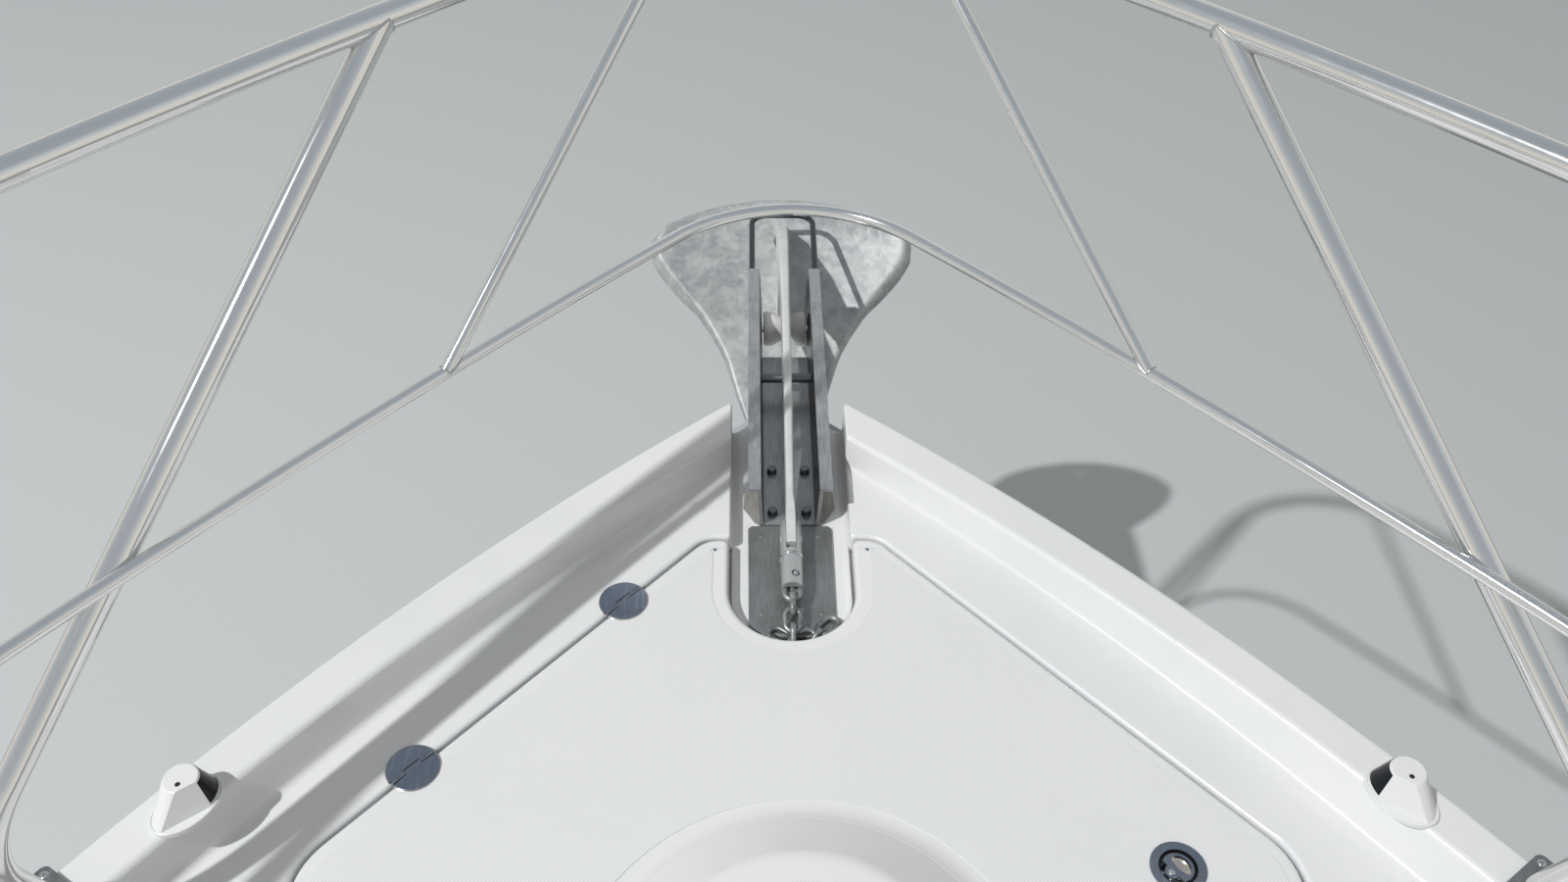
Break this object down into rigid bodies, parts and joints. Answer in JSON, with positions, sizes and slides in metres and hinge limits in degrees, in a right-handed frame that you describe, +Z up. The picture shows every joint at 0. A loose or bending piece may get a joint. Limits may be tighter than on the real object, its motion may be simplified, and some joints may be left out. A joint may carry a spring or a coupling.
{
  "type": "motor yacht bow section",
  "caption": "Bow section of a motor yacht: pointed foredeck with hinged anchor locker lid, bow roller with stowed anchor, navigation lights and tubular bow rail.",
  "frame": {"origin": "centre of the joint bolts on the aft joint face, on the centreline", "axes": "+X to starboard, +Y forward to the stem, +Z up"},
  "size_m": [2.4512, 1.9521, 2.062],
  "materials": {
    "gelcoat": "gloss gelcoat",
    "liner": "satin flow coat",
    "ply": "sealed plywood",
    "rub": "matt vinyl",
    "seal": "matt",
    "steel": "polished stainless steel",
    "plate": "brushed stainless steel",
    "galvanised": "hot-dip galvanised",
    "nylon": "satin nylon",
    "housing": "gloss",
    "window": "dark screen",
    "black": "matt"
  },
  "bodies": {
    "bow": {"hull_bow": "gelcoat", "bulkhead": "ply", "deck_moulding": "gelcoat", "rub_rail": "rub", "locker_well": "liner", "windlass_shelf": "liner", "lid_seal": "seal", "windlass": "steel", "hinge_deck_leaves": "steel", "hinge_pins": "steel", "roller_channel": "plate", "channel_bolts": "steel", "roller_bolt": "steel", "retaining_pin": "steel", "bail": "steel", "chafe_plate": "plate", "anchor_shank": "galvanised", "anchor_fluke": "galvanised", "swivel": "steel", "chain": "galvanised", "nav_light_starboard": "housing", "nav_light_port": "housing", "nav_lens_starboard": "window", "nav_lens_port": "window", "top_rail_bow": "steel", "top_rail_starboard": "steel", "top_rail_port": "steel", "mid_rail_bow": "steel", "mid_rail_starboard": "steel", "mid_rail_port": "steel", "stanchion_starboard": "steel", "stanchion_port": "steel", "aft_stanchion_starboard": "steel", "aft_stanchion_port": "steel", "brace_starboard": "steel", "brace_port": "steel", "foot_plates_starboard": "steel", "foot_plates_port": "steel"},
    "lid": {"locker_lid": "gelcoat", "hinge_lid_leaves": "steel", "latch_bezel": "steel", "latch_ring": "steel", "latch_body": "black"},
    "roller": {"bow_roller": "nylon"}
  },
  "joints": [
    {"name": "lid_hinge", "type": "hinge", "parent": "bow", "child": "lid", "pos_m": [-0.453, 0.752, 0.454], "axis": [-0.6683, -0.7439, 0], "range_deg": [0, 90]},
    {"name": "roller_spin", "type": "hinge", "parent": "bow", "child": "roller", "pos_m": [0, 1.6, 0.442], "axis": [1, 0, 0], "continuous": true}
  ]
}
